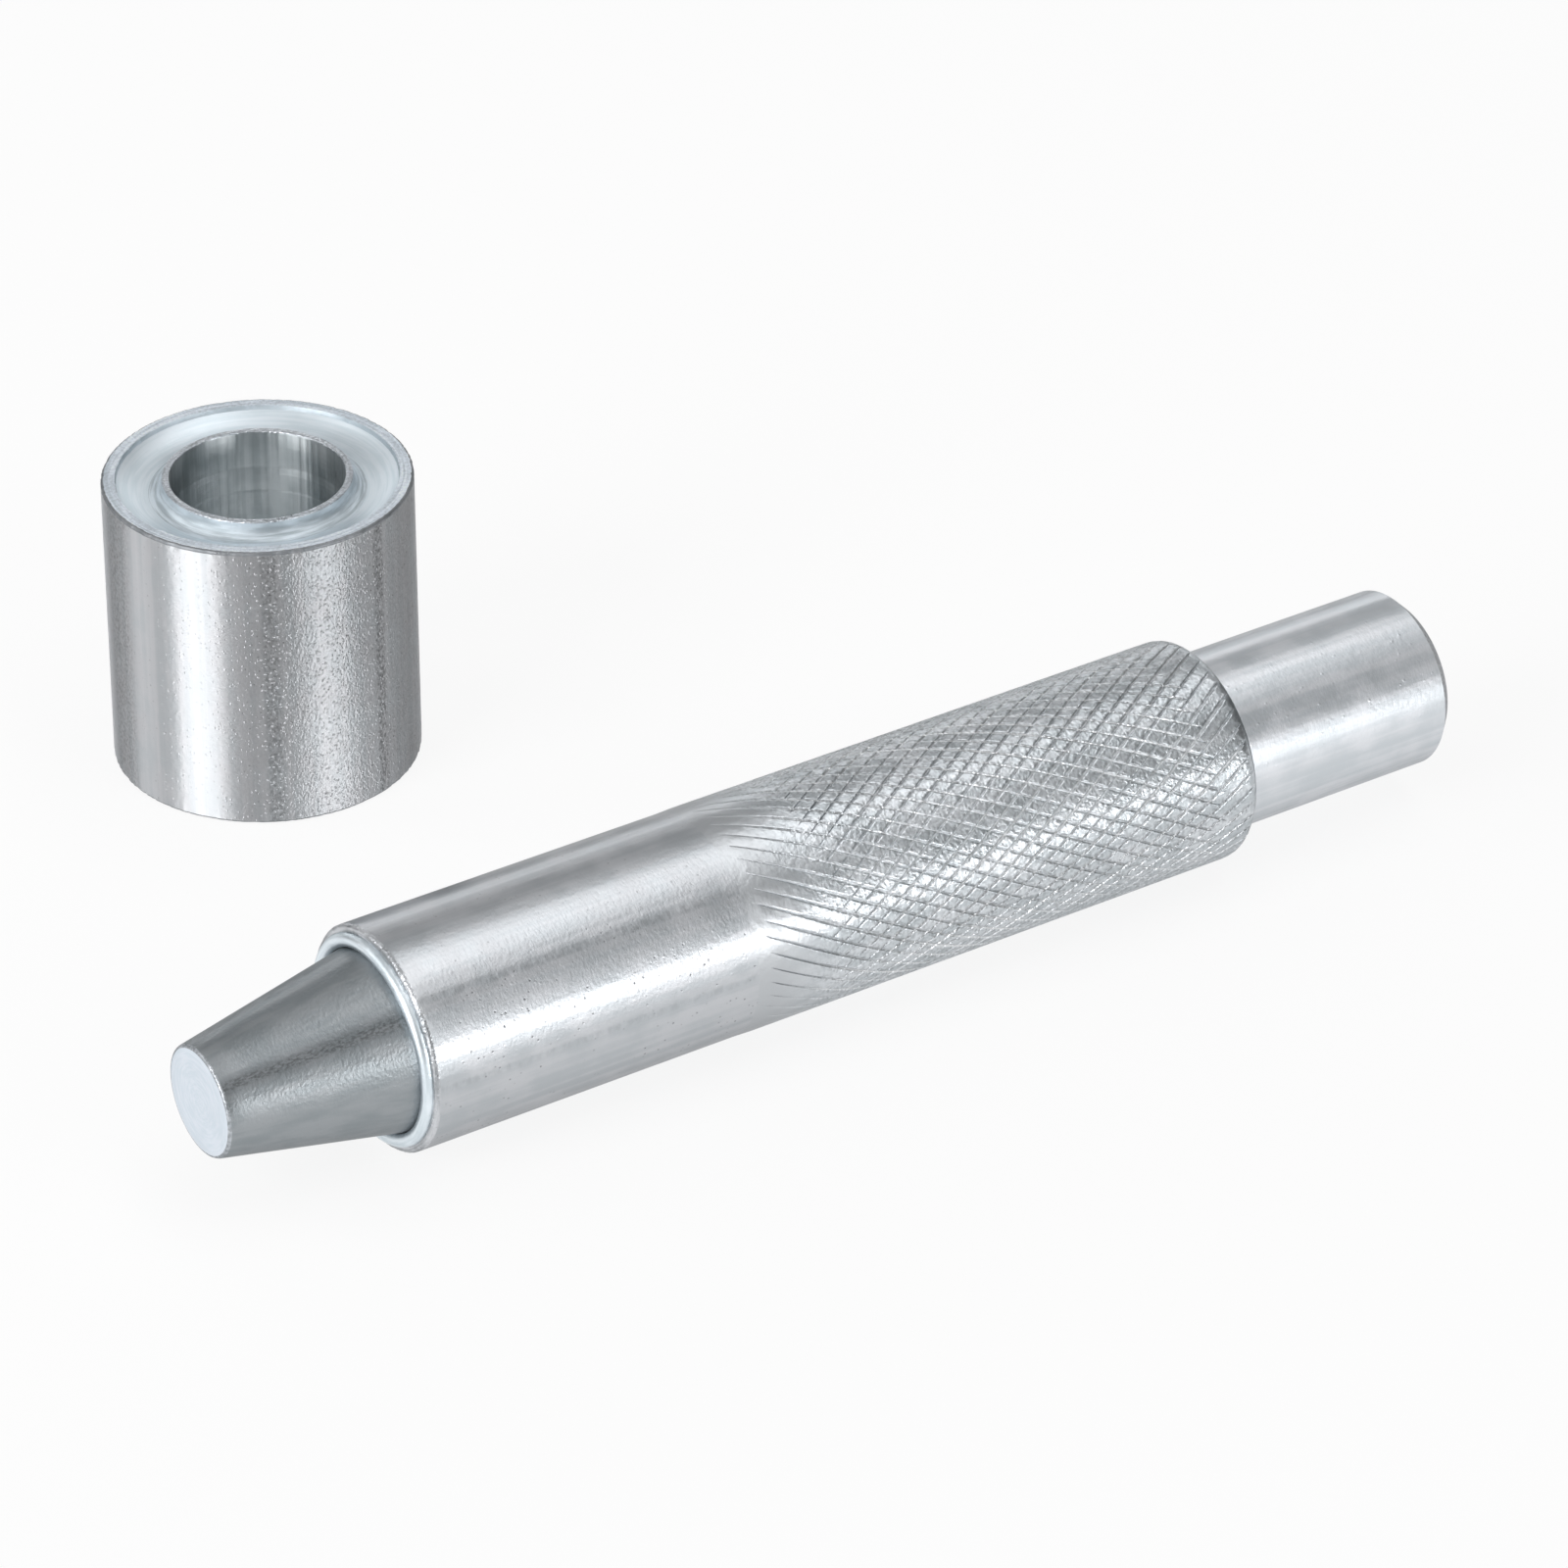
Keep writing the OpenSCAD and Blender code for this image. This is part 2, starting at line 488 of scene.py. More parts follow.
def grip_path():
    """The line that the knurl follows: the run-in, the grip and the shoulder's rounded edge."""
    edge_r, edge_l = grip_r - SHOULDER_EDGE, BODY_L - SHOULDER_EDGE
    straight = line((grip_r, PLAIN_L + GRIP_RUN_IN), (grip_r, edge_l), 8)
    edge = arc((edge_r, edge_l), SHOULDER_EDGE, 0, 90, 16)
    return chain([("grip", line((body_r, PLAIN_L), straight[0], 2)), ("grip", straight),
                  ("grip", edge)])[0]


def back_section():
    """Half section from the shoulder's flat, along the neck, to the striking face."""
    end = BODY_L + NECK_L
    strike_r = neck_r - STRIKE_CHAMFER
    return chain([
        ("shoulder", line((grip_r - SHOULDER_EDGE, BODY_L), (neck_r, BODY_L), 2)),
        ("neck", line((neck_r, BODY_L), (neck_r, end - STRIKE_CHAMFER), 16)),
        ("strike", line((neck_r, end - STRIKE_CHAMFER), (strike_r, end), 3)),
        ("strike", line((strike_r, end), (neck_r * POLE_SHARE, end), 4)),
    ])


# %% The knurl's relief
KNURL_DEPTH = 0.115 * MM
KNURL_ROUNDING = 0.02 * MM
LINE_CUT = np.array([1, 0, 0, 0, 0, 0])
LINE_ROUNDED = np.array([0, 1, 0, 0, 0, 1])
LINE_NEAR = np.array([1.0, 0.5, 0.4, 0.0, 0.4, 0.5])
SLOPE_REACH = 0.02 * MM


def along_path(path, share):
    """Points of a path at shares of its length, and the direction square to it, outwards."""
    gaps = np.hypot(*np.diff(path, axis=0).T)
    place = np.concatenate([[0], np.cumsum(gaps)])
    want = share * place[-1]
    point, ahead, behind = (np.stack([np.interp(want + step, place, path[:, i]) for i in (0, 1)])
                            for step in (0, SLOPE_REACH, -SLOPE_REACH))
    slope = (ahead - behind) / np.hypot(*(ahead - behind))
    return point, (slope[1], -slope[0])


def stronger(table, back, forth, back_pressed, forth_pressed):
    """A table's value for the kind of mesh line times how deep its groove is pressed, of
    whichever family has more of it."""
    return np.maximum(table[back % LINES] * back_pressed, table[forth % LINES] * forth_pressed)


# %% The grip as a grid
def grip_rows():
    """Radius, length, turn and nearness to a groove of every point of the grip.

    The number of crossings is the length times the starts times the lean's tangent, over half
    the circumference, to the nearest whole one. A first pass places the grooves, which says how
    deep each is pressed, and a second pass narrows the shallow ones. A point is down by the
    knurl's depth at a groove's bottom and by its rounding at a groove's sides.
    """
    path = grip_path()
    length = np.hypot(*np.diff(path, axis=0).T).sum()
    crossings = round(length * KNURL_STARTS * math.tan(KNURL_LEAN) / (math.pi * grip_r))
    row = np.arange(crossings * LINES + 1)[:, None]
    forth = np.arange(COLUMNS)[None, :] + 0 * row
    back = forth + row
    turn, share = knurl_place(back, forth, 1, 1, crossings)
    along = PLAIN_L + share * length
    pressed = (press(back, turn, along, length, BACK_SPAN, 1),
               press(forth, turn, along, length, FORTH_SPAN, 2))
    turn, share = knurl_place(back, forth, *pressed, crossings)
    cut, rounded, near = (stronger(table, back, forth, *pressed)
                          for table in (LINE_CUT, LINE_ROUNDED, LINE_NEAR))
    height = np.where(cut > 0, -KNURL_DEPTH * cut, -KNURL_ROUNDING * rounded)
    (radius, along), (out_r, out_l) = along_path(path, share)
    return radius + out_r * height, along + out_l * height, turn, near


def diamonds(index):
    """Faces between the two families of mesh lines, which lie aslant in the grid.

    One step along a row is a step in both counts, and one step along a column is a step in the
    second. So a diamond is a point, then in the next column the points one row back and in its
    own row, then the point one row on. Half diamonds, which are triangles, close both ends.
    """
    beside = np.roll(index, -1, axis=1)
    faces = np.stack([index[1:-1], beside[:-2], beside[1:-1], index[2:]], axis=-1)
    # a diamond is drawn folded between its first and third corner, so where two grooves cross
    # it starts from the corner on the fold
    forth = np.arange(index.shape[1])[None, :] % LINES
    back = (np.arange(index.shape[1])[None, :] + np.arange(1, len(index) - 1)[:, None]) % LINES
    fold = ((back == 0) & (forth == LINES - 1)) | ((back == LINES - 1) & (forth == 0))
    faces = np.where(fold[:, :, None], np.roll(faces, 1, axis=-1), faces).reshape(-1, 4)
    start = np.stack([index[0], beside[0], index[1]], axis=-1)
    stop = np.stack([index[-1], beside[-2], beside[-1]], axis=-1)
    halves = np.vstack([start, stop]).tolist()
    return faces.tolist() + halves, ["grip"] * (len(faces) + len(halves))


grip_radius, grip_along, grip_turn, grip_near = grip_rows()
print("grip", grip_radius.shape, "points")

# %% [markdown]
# The face's outer lip is bruised by work, so it gets a burr. The knurl needs finer creases than
# the rest, or its flats would look like cushions. The last rows, on the shoulder's rounded
# edge, are too coarse for that and stay smooth. The mesh also carries how near each point is
# to a groove, as an attribute that the plating reads: the metal is rough beside the grooves,
# and the bottoms of the grooves are painted lighter, a painted highlight that lifts their dark
# lines.

# %% The setter's bruises and creases
SETTER_ORDER = ["tip", "tip_edge", "pilot", "root", "curl", "face", "body", "grip", "shoulder",
                "neck", "strike"]
FACE_BURR = (0.1 * MM, 0.45 * MM, (7, 17, 31, 53, 83))
FACE_SEEDS = (5, 6)  # for the radius and for the length
KNURL_ANGLE = 8  # degrees
EDGE_ROWS = 7


def crisp(mesh, first, last):
    """Creases the knurl between two points' numbers at a finer angle than the rest."""
    fine = creases(mesh, KNURL_ANGLE)
    ends = np.zeros(len(mesh.edges) * 2, int)
    mesh.edges.foreach_get("vertices", ends)
    ends = ends.reshape(-1, 2)
    inside = (ends >= first).all(axis=1) & (ends <= last).all(axis=1)
    mesh.edges.foreach_set("use_edge_sharp", creases(mesh, SHARP_ANGLE) | (fine & inside))


# %% The setter's skin
def make_setter():
    """Stacks front, grip and back, which share their columns, and sweeps them round X."""
    front, front_zones = front_section()
    back, back_zones = back_section()
    front_turn, back_turn = grip_turn[:1], grip_turn[-1:]
    lip = (body_r - FACE_EDGE / 2, 0)
    inwards, onwards = (burr(front, lip, front_turn, seed, *FACE_BURR) for seed in FACE_SEEDS)
    front_radius, front_along = front[:, :1] - inwards, front[:, 1:] + onwards
    radius = np.vstack([front_radius[:-1], grip_radius, back[1:, :1] + 0 * back_turn])
    along = np.vstack([front_along[:-1], grip_along, back[1:, 1:] + 0 * back_turn])
    turn = np.vstack([np.repeat(front_turn, len(front) - 1, 0), grip_turn,
                      np.repeat(back_turn, len(back) - 1, 0)])
    grid = sweep(radius, along, turn, (face_x, axis_y, axis_z), upright=False)
    index = numbered(grid)
    grip_first, grip_last = len(front) - 1, len(front) + len(grip_radius) - 2
    grip_index = index[grip_first:grip_last + 1]
    poles = [(setter_low.x, axis_y, axis_z), (setter_high.x, axis_y, axis_z)]
    blocks = [cells(index[:grip_first + 1], front_zones),
              diamonds(grip_index),
              cells(index[grip_last:], back_zones),
              fan(index.size, index[0], "tip"),
              fan(index.size + 1, index[-1][::-1], "strike")]
    piece = skin("setter_turned", np.vstack([grid.reshape(-1, 3), poles]), blocks, SETTER_ORDER)
    crisp(piece.data, grip_index[1].min(), index[grip_last - EDGE_ROWS].max())
    near = np.zeros(len(piece.data.vertices))
    near[grip_index] = grip_near
    piece.data.attributes.new("groove", "FLOAT", "POINT").data.foreach_set("value", near)
    return piece


setter = make_setter()
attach(setter, "setter")
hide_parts("setter")
print(f"setter {len(setter.data.polygons)} faces, {volume(setter):.0f} mm3")

# %% [markdown]
# ## Zinc plate
#
# Zinc plate over turned steel is a soft grey mirror. The fine rings that the lathe left smear
# each reflection along the axis, so the shader is anisotropic, and drawing dies left faint
# lines along the bar. The plating adds pimples, pits and a slight orange peel, which fray the
# edges of the bright bands. All of it could be painted, but a painted picture blurs close up.
# So every pattern is worked out from noise and dots in the piece's own coordinates, in metres.

# %% Node helpers
class Nodes:
    """The node tree of a material or a world, with short calls for the nodes that it needs."""

    def __init__(self, owner, shader="Principled BSDF"):
        owner.use_nodes = True
        self.owner, self.tree = owner, owner.node_tree
        self.shader = self.tree.nodes[shader]
        self.coordinates = self.node("ShaderNodeTexCoord").outputs
        self.place = self.coordinates["Object"]

    def node(self, kind, **inputs):
        """Adds a node and sets or links its inputs by name."""
        made = self.tree.nodes.new(kind)
        for name, value in inputs.items():
            self.put(made.inputs[name], value)
        return made

    def put(self, socket, value):
        """Sets a socket to a number or colour, or links another socket to it."""
        if isinstance(value, bpy.types.NodeSocket):
            self.tree.links.new(value, socket)
        else:
            socket.default_value = value

    def shade(self, values):
        """Sets or links the shader's own sockets."""
        for name, value in values.items():
            self.put(self.shader.inputs[name], value)

    def step(self, kind, operation, a, b):
        """One arithmetic step of two values or two vectors."""
        made = self.tree.nodes.new(kind)
        made.operation = operation
        self.put(made.inputs[0], a)
        self.put(made.inputs[1], b)
        return made.outputs

    def math(self, operation, a, b):
        """A step on two values."""
        return self.step("ShaderNodeMath", operation, a, b)[0]

    def vector(self, operation, a, b=(0, 0, 0)):
        """A step on two vectors."""
        outputs = self.step("ShaderNodeVectorMath", operation, a, b)
        return outputs["Value" if operation in ("DOT_PRODUCT", "LENGTH") else "Vector"]

    def total(self, *terms):
        """Adds up pairs of a value and its weight."""
        products = [self.math("MULTIPLY", value, weight) for value, weight in terms]
        result = products[0]
        for product in products[1:]:
            result = self.math("ADD", result, product)
        return result

    def ramp(self, value, low, high, to_low=0.0, to_high=1.0):
        """Maps low to high smoothly onto another range, and holds it beyond."""
        made = self.node("ShaderNodeMapRange", Value=value)
        made.interpolation_type = "SMOOTHSTEP"
        for socket, number in zip(made.inputs[1:5], (low, high, to_low, to_high)):
            socket.default_value = number
        return made.outputs[0]

    def noise(self, vector, scale=1.0, detail=2.0):
        """Soft noise around 0.5."""
        made = self.node("ShaderNodeTexNoise", Vector=vector, Scale=scale, Detail=detail)
        return made.outputs[0]

    def blend(self, share, first, second):
        """Mixes two colours."""
        made = self.tree.nodes.new("ShaderNodeMix")
        made.data_type = "RGBA"
        for name, value in (("Factor", share), ("A", first), ("B", second)):
            # a colour mix has its own sockets of these names, behind those for numbers
            socket = [s for s in made.inputs if s.name == name and s.enabled][0]
            self.put(socket, value)
        return [s for s in made.outputs if s.enabled][0]


# %% [markdown]
# Marks on a turned piece follow its axis: rings run round it, die lines run along it, and a
# streak stays at one turn of it. The streaks here are painted shade: darker lines where the
# reflections are dark. Unwrapping the piece would give the same two directions, but with a
# seam. Stretched coordinates and the way out from the axis have none.

# %% Patterns on a turned piece
ALONG = {"X": (1, 0, 0), "Z": (0, 0, 1)}
MIDDLES = {"X": (0, axis_y, axis_z), "Z": (0, 0, 0)}
FACE_LUMPS = (2, 2, 2)  # how far a ring of a flat face wanders round the turn


class TurnedNodes(Nodes):
    """Nodes for a piece that was turned round an axis, X or Z."""

    def __init__(self, name, axis):
        super().__init__(bpy.data.materials.new(name))
        self.axis = axis

    def stretched(self, along, across):
        """The piece's coordinates, scaled along its axis and across it, in cells a metre."""
        scale = [along if on_axis else across for on_axis in ALONG[self.axis]]
        return self.node("ShaderNodeMapping", Vector=self.place, Scale=scale).outputs[0]

    def outward(self):
        """The way from the piece's axis straight out to the surface."""
        level = [1 - on_axis for on_axis in ALONG[self.axis]]
        shift = [-value * keep for value, keep in zip(MIDDLES[self.axis], level)]
        return self.node("ShaderNodeMapping", Vector=self.place, Location=shift,
                         Scale=level).outputs[0]

    def facing(self, turn):
        """Cosine of the angle round the axis between the surface and a turn.

        A turn is in degrees from -Y, towards +Z on a lying bar and +X on a standing one.
        """
        side, rise = -math.cos(math.radians(turn)), math.sin(math.radians(turn))
        toward = (0, side, rise) if self.axis == "X" else (rise, side, 0)
        return self.vector("DOT_PRODUCT", self.vector("NORMALIZE", self.outward()), toward)

    def streak(self, turn, width):
        """1 along a line that runs the length of the bar, fading to 0 at a width of turn from it.

        1 - cosine is about half the turn squared.
        """
        off = self.math("SUBTRACT", 1.0, self.facing(turn))
        return self.ramp(off, width * width / 2, 0.0)

    def spun(self, across):
        """Coordinates for rings on a flat face: the radius in cells a metre, and the direction."""
        outward = self.outward()
        out = self.vector("NORMALIZE", outward)
        count = self.math("MULTIPLY", self.vector("LENGTH", outward), across)
        spread = self.node("ShaderNodeCombineXYZ", X=count, Y=count, Z=count).outputs[0]
        rings = self.vector("MULTIPLY", spread, ALONG[self.axis])
        return self.vector("ADD", self.vector("MULTIPLY", out, FACE_LUMPS), rings)

    def dots(self, vector, radius, share):
        """Round dots in a share of the cells: 1 in the middle, 0 from the radius outwards."""
        spot = self.node("ShaderNodeTexVoronoi", Vector=vector, Scale=1.0)
        luck = self.node("ShaderNodeSeparateColor", Color=spot.outputs["Color"]).outputs[0]
        chosen = self.math("LESS_THAN", luck, share)
        return self.math("MULTIPLY", self.ramp(spot.outputs["Distance"], radius, 0.0), chosen)


# %% [markdown]
# A finish is built up as the real surface was: turned, plated, and then marked. One function
# with a parameter for every mark would do, but a chain of calls names only the marks that a
# zone has. The bump node takes heights in micrometres and a distance of a millionth of a metre,
# so each height below is a real one. Rings and die lines also shade the metal, because a
# rougher ring looks darker from every side.

# %% How fine each pattern is, in cells a metre
MICRON = 1e-6
RING_CELLS = (4200, 45)  # along the axis and across it, as in the other pairs
DIE_LINES = (25, 1500)
STROKES = (5200, 2000)
FACE_STROKES = 4500.0
PEEL_CELLS = 1900.0
CLOUD_CELLS = 330.0
GRIT_CELLS = 3600.0
HAMMER_CELLS = (3000, 4300)
PIT_CELLS = (2300, 2300)

# %% How strong each pattern is
BLACK = (0, 0, 0, 1)
WHITE = (1, 1, 1, 1)
COOL = (0.985, 1.0, 1.008)
WARM = (1.012, 0.998, 1.0)
EDGE_TINT = (0.6, 0.6, 0.6, 1)
QUARTER_TURN = 0.25
RINGS_SHOW = 0.75
LINES_SHOW = 0.5
SHADE_RANGE = (0.38, 0.62)
ROUGH_RANGE = (0.3, 0.7)
ROUGH_SPREAD = 0.03
CROWD_RANGE = (0.45, 0.8)
GRIT_LEVEL = 0.45
FLAT_GRIT = 0.35
LOW_GRAINS = (0.6, 0.36)
PIT_RADIUS = 0.3
PIT_SHARE = 0.35
PIT_SHADE = 0.3
PIT_PATCHES = (0.42, 0.58)
FEWEST_PITS = 0.4
PIMPLE_RADIUS = 0.42
FEWEST_PIMPLES = 0.3
LOWEST_PIMPLES = 0.35
FLECK_RANGE = (0.35, 0.68)
GROOVE_BOTTOM = (0.5, 0.95)


# %% The zinc finish
class Zinc(TurnedNodes):
    """Zinc plate on turned steel. Heights are in micrometres, turns in degrees.

    Its height is rings, die lines, orange peel and fine strokes added up. Its colour wanders
    between a cooler, darker and a warmer, paler cast of the tint: with the rings on a flat
    face, and with clouds and die lines along a bar. Its roughness follows the clouds. smear is
    how far the rings draw reflections out.
    """

    def __init__(self, axis, tint, roughness, smear=0.0, rings=0.0, lines=0.0, peel=1.2,
                 grain=0.0, shading=0.05, faced=False):
        super().__init__("zinc", axis)
        self.tint, self.older = tint, None
        self.crowd = self.gritted = 1.0
        rounds = self.spun(RING_CELLS[0]) if faced else self.stretched(*RING_CELLS)
        ring = self.noise(rounds, detail=3.0)
        drawn = self.noise(self.stretched(*DIE_LINES))
        peeled = self.noise(self.place, PEEL_CELLS)
        fine = (self.noise(self.place, FACE_STROKES) if faced else
                self.noise(self.stretched(*STROKES)))
        self.cloud = self.noise(self.place, CLOUD_CELLS, 4.0)
        self.height = self.total((ring, rings), (drawn, lines), (peeled, peel), (fine, grain))
        mark, share = (ring, RINGS_SHOW) if faced else (drawn, LINES_SHOW)
        pale_share = self.ramp(self.total((mark, share), (self.cloud, 1 - share)), *SHADE_RANGE)
        dark = [channel * cast * (1 - shading) for channel, cast in zip(tint, COOL)]
        pale = [channel * cast * (1 + shading) for channel, cast in zip(tint, WARM)]
        self.colour = self.blend(pale_share, (*dark, 1), (*pale, 1))
        self.rough = self.ramp(self.cloud, *ROUGH_RANGE, roughness - ROUGH_SPREAD,
                               roughness + ROUGH_SPREAD)
        tangent = self.node("ShaderNodeTangent")
        tangent.direction_type, tangent.axis = "RADIAL", axis
        self.shade({"Metallic": 1.0, "Specular Tint": EDGE_TINT, "Anisotropic": smear,
                    "Anisotropic Rotation": QUARTER_TURN, "Tangent": tangent.outputs[0]})

    def lift(self, mark, height):
        """Height = the height so far + the mark times its own height, which may be negative."""
        self.height = self.total((self.height, 1.0), (mark, height))
        return self

    def stain(self, mark, share, shade=BLACK):
        """Colour = the colour so far, mixed with a shade by the mark times a share."""
        self.colour = self.blend(self.math("MULTIPLY", mark, share), self.colour, shade)
        return self

    def thickest_at(self, turn):
        """Pits, pimples and dents are thickest where the surface faces a turn."""
        self.crowd = self.ramp(self.facing(turn), *CROWD_RANGE)
        return self

    def crowded(self, least):
        """1 where marks are thickest, and a least share of that elsewhere."""
        return self.ramp(self.crowd, 0.0, 1.0, least, 1.0)

    def pits(self, depth):
        """Dark pits, in patches where the clouds are thick."""
        pit = self.dots(self.stretched(*PIT_CELLS), PIT_RADIUS, PIT_SHARE)
        pit = self.math("MULTIPLY", pit, self.ramp(self.cloud, *PIT_PATCHES))
        pit = self.math("MULTIPLY", pit, self.crowded(FEWEST_PITS))
        shade = (*(channel * PIT_SHADE for channel in self.tint), 1)
        return self.lift(pit, -depth).stain(pit, 1.0, shade)

    def pimples(self, height, spread, share):
        """Beads of plating, in a share of the cells. spread is their cells, along and across."""
        chosen = self.math("MULTIPLY", self.crowded(FEWEST_PIMPLES), share)
        pimple = self.dots(self.stretched(*spread), PIMPLE_RADIUS, chosen)
        return self.lift(self.math("MULTIPLY", pimple, self.crowded(LOWEST_PIMPLES)), height)

    def grit(self, height):
        """Coarse grains. Their usual level is taken off, so that they don't raise the surface."""
        self.grains = self.noise(self.place, GRIT_CELLS)
        off_level = self.math("SUBTRACT", self.grains, GRIT_LEVEL)
        return self.lift(self.math("MULTIPLY", off_level, self.gritted), height)

    def hammered(self, height):
        """Small dents, where the marks are thickest."""
        self.grains, self.gritted = self.noise(self.stretched(*HAMMER_CELLS)), self.crowd
        return self.lift(self.math("MULTIPLY", self.grains, self.gritted), height)

    def speckled(self, depth):
        """The low ones of the grains or dents made last are darker."""
        low = self.ramp(self.grains, *LOW_GRAINS)
        return self.stain(self.math("MULTIPLY", low, self.gritted), depth)

    def shaded_at(self, turn, width, depth):
        """Painted shade: a broad, even darker band along the bar at one turn. The width is in
        radians, and the depth how dark it is.
        """
        return self.stain(self.streak(turn, width), depth)

    def streaks(self, places, flecks, dip=0.0):
        """Painted shade: dark streaks of flecks at fixed turns. A place is a turn, a half width in
        radians and how dark it is.

        flecks is their cells, along and across, and dip is how deep they lie.
        """
        fleck = self.ramp(self.noise(self.stretched(*flecks), detail=4.0), *FLECK_RANGE)
        for turn, width, depth in places:
            mark = self.math("MULTIPLY", self.streak(turn, width), fleck)
            self.stain(mark, depth).lift(mark, -dip)
        return self

    def knurled(self, tint, roughness, start, stop):
        """Grit that thins out away from the grooves, and grows out of another finish along X."""
        along = self.node("ShaderNodeSeparateXYZ", Vector=self.place).outputs["X"]
        self.grown, self.older = self.ramp(along, start, stop), (tint, roughness)
        attribute = self.node("ShaderNodeAttribute")
        attribute.attribute_name = "groove"
        self.near = attribute.outputs["Fac"]
        beside = self.ramp(self.near, 0.0, 0.5, FLAT_GRIT, 1.0)
        self.gritted = self.math("MULTIPLY", beside, self.grown)
        return self

    def painted_groove_light(self, share):
        """Paints the bottom of each groove lighter: a painted highlight that lifts their dark
        lines.
        """
        return self.stain(self.ramp(self.near, *GROOVE_BOTTOM), share, WHITE)

    def named(self, name):
        """Wires height, colour and roughness to the shader, and returns the material."""
        if self.older is not None:
            tint, roughness = self.older
            self.colour = self.blend(self.grown, (*tint, 1), self.colour)
            rest = self.math("SUBTRACT", 1.0, self.grown)
            self.rough = self.total((self.rough, self.grown), (rest, roughness))
        bump = self.node("ShaderNodeBump", Height=self.height, Distance=MICRON, Strength=1.0)
        self.shade({"Base Color": self.colour, "Roughness": self.rough,
                    "Normal": bump.outputs[0]})
        self.owner.name = name
        return self.owner


# %% [markdown]
# ## Finishes
#
# One bath plates the whole piece, but each zone was turned, knurled or struck in its own way,
# so each has its own tint and marks. Some tints are painted shade as well: the anvil's dark
# rounded edges and the dark crevice at the pilot's root. A single finish painted with masks
# would need as many masks as there are zones. The faces know their zone, so each zone gets a
# material instead. The anvil's side and bore are smeared along the axis. Its front is hammered
# and full of pimples, its groove is frosted, and the flank round its lip still shows the tool's
# rings.

# %% Tints, as a share of the light that comes back
turned = (0.515, 0.535, 0.555)
knurled = (0.625, 0.66, 0.685)
stood = (0.675, 0.693, 0.713)
necked = (0.66, 0.688, 0.715)
# painted shade: the anvil's rounded edges are painted this dark, a dark outline along them
painted_edge_shade = (0.28, 0.295, 0.31)
bruised = (0.62, 0.66, 0.70)
stepped = (0.5, 0.53, 0.56)
frosted = (0.80, 0.875, 0.92)
ringed = (0.66, 0.725, 0.765)
# painted shade: the crevice at the pilot's root is painted this dark, where light does not reach
painted_root_shade = (0.30, 0.315, 0.325)
rimmed = (0.81, 0.875, 0.94)
bored = (0.645, 0.69, 0.705)
tapered = (0.325, 0.35, 0.365)

# %% The anvil's finishes
BEADS = (2300, 2300)
anvil_finishes = {
    "base": Zinc("Z", turned, 0.42, smear=0.3, rings=1, faced=True),
    # painted shade: a dark outline painted on the rounded edges, with real beads of plating
    "edge": Zinc("Z", painted_edge_shade, 0.5, grain=30, shading=0.15).pimples(35, BEADS, 0.7),
    # painted shade: the side is darker in a broad band facing turn 48 and along three flecked
    # lines, in place of dark reflections; only the streaks' dip of 12.5 micrometres is relief
    "side": Zinc("Z", stood, 0.5, smear=1, lines=3, peel=10, grain=12, shading=0.06)
        .thickest_at(18).pits(18).pimples(38, (2900, 3800), 0.95).hammered(50).speckled(0.1)
        .shaded_at(48, 0.5, 0.2)
        .streaks([(-26.5, 0.07, 0.38), (18.7, 0.06, 0.55), (-95, 0.2, 0.3)], (3400, 4800), 12.5),
    "rim": Zinc("Z", rimmed, 0.5, rings=4, shading=0.14, faced=True)
        .grit(60).speckled(0.15).pimples(40, (1900, 1900), 0.5),
    "step": Zinc("Z", ringed, 0.6, rings=40, grain=20, shading=0.15, faced=True),
    "groove": Zinc("Z", frosted, 0.5, rings=8, peel=10, grain=4, shading=0.04, faced=True),
    "flank": Zinc("Z", ringed, 0.6, rings=95, peel=10, grain=8, shading=0.2, faced=True),
    "lip": Zinc("Z", bruised, 0.3, rings=15, shading=0.2, faced=True)
        .grit(90).speckled(0.25).pimples(50, BEADS, 0.7),
    "bore": Zinc("Z", bored, 0.38, smear=0.85, rings=24, lines=75, peel=8, shading=0.14),
}
print(len(anvil_finishes), "finishes on the anvil")

# %% [markdown]
# The setter's pilot has a darker tint than the body. The crevice at its root is painted dark:
# painted shade where the light does not reach. Its curling groove is as frosted as the anvil's.
# Dark flecked streaks along the front and the pilot are painted shade: darker lines at fixed
# turns, in place of dark lines in the reflections. The grip's finish grows out of the plain
# front's where the knurl starts, because the same bar runs on under it.

